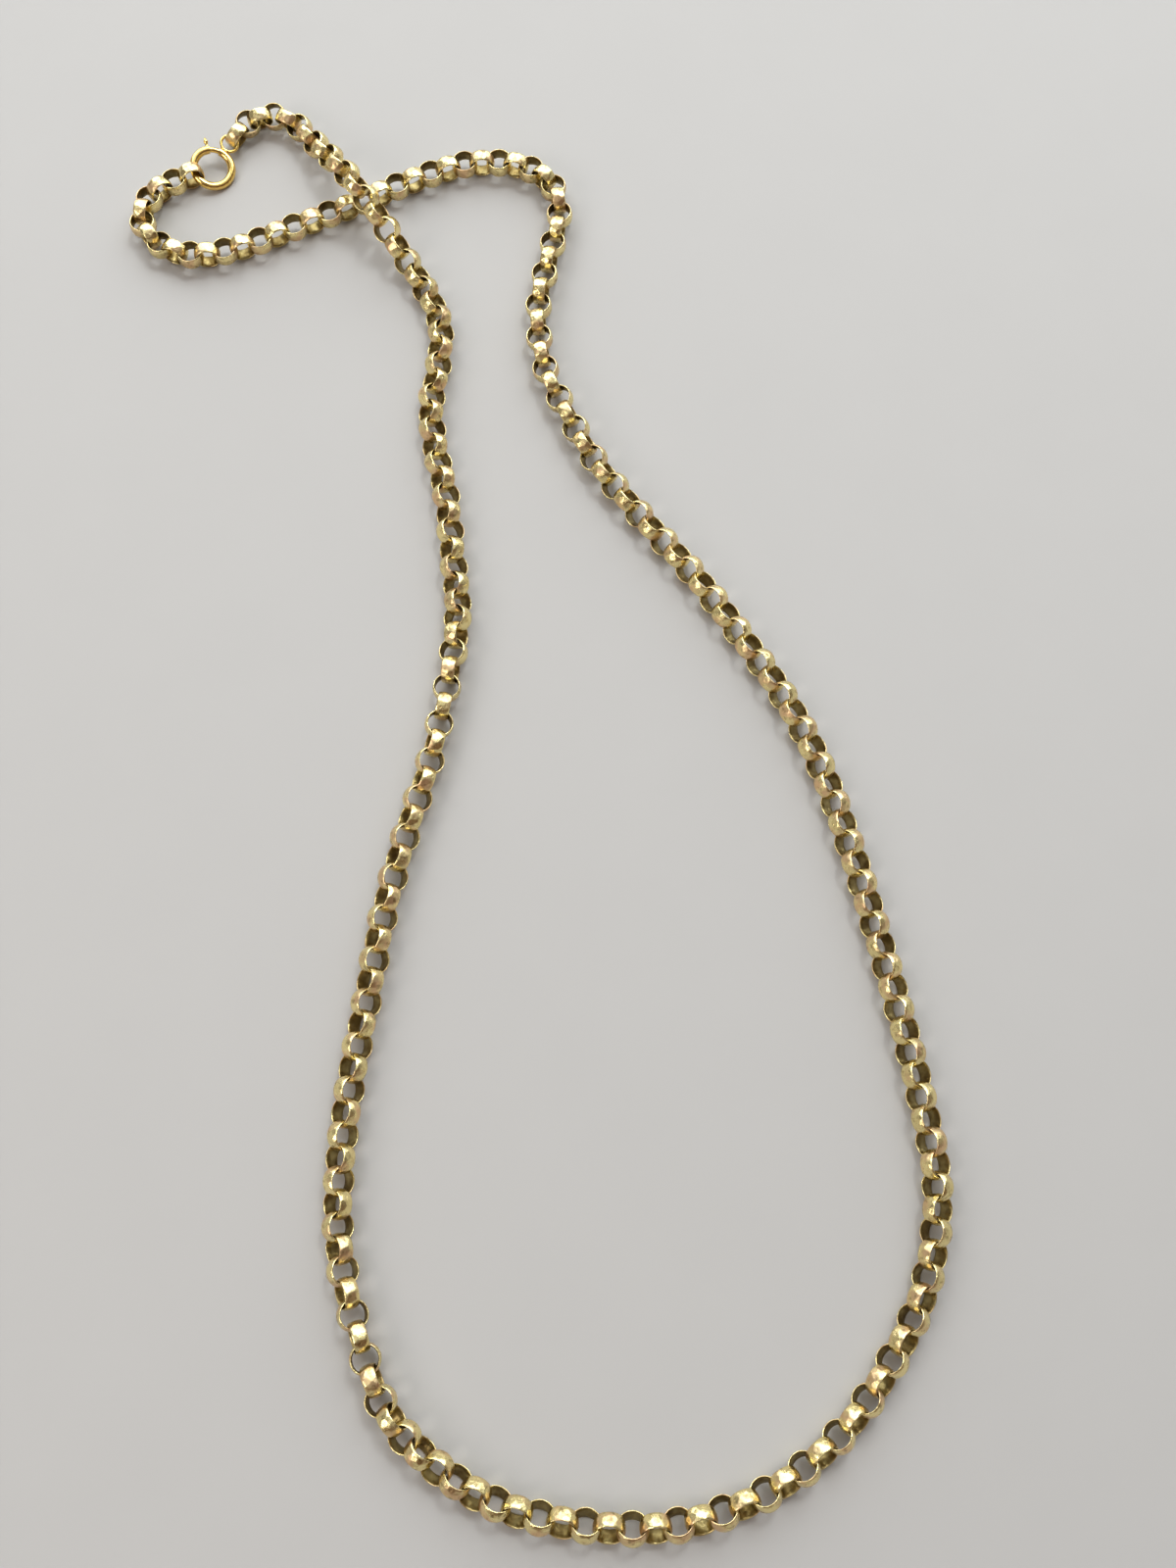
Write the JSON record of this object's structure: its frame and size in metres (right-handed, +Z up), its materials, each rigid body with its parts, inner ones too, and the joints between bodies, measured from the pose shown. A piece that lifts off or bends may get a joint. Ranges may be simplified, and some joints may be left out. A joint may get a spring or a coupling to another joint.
{
  "type": "rolo chain necklace with a bolt ring clasp",
  "caption": "Gold rolo (belcher) chain necklace lying as a closed teardrop loop, with a sprung bolt ring clasp.",
  "frame": {"origin": "on the surface that the chain lies on, at the middle of its outline", "axes": "+Z up from that surface; +Y from the wide bottom of the loop towards the clasp's end; +X to the right"},
  "size_m": [0.1334, 0.2357, 0.0104],
  "materials": {
    "chain_gold": "polished pale 9 ct yellow gold, worn, with small dents and darker hollows",
    "clasp_gold": "polished 9 ct yellow gold, a little warmer and brighter than the chain"
  },
  "bodies": {
    "necklace": {"chain": "chain_gold", "end_link": "chain_gold", "bolt_ring": "clasp_gold"},
    "bolt": {"bolt": "clasp_gold"}
  },
  "joints": [
    {"name": "bolt_turn", "type": "hinge", "parent": "necklace", "child": "bolt", "pos_m": [-0.05303, 0.10497, 0.00186], "axis": [0.2552, -0.2419, 0.9361], "range_deg": [0, 36], "stiffness_Nm_per_rad": 0.004}
  ]
}
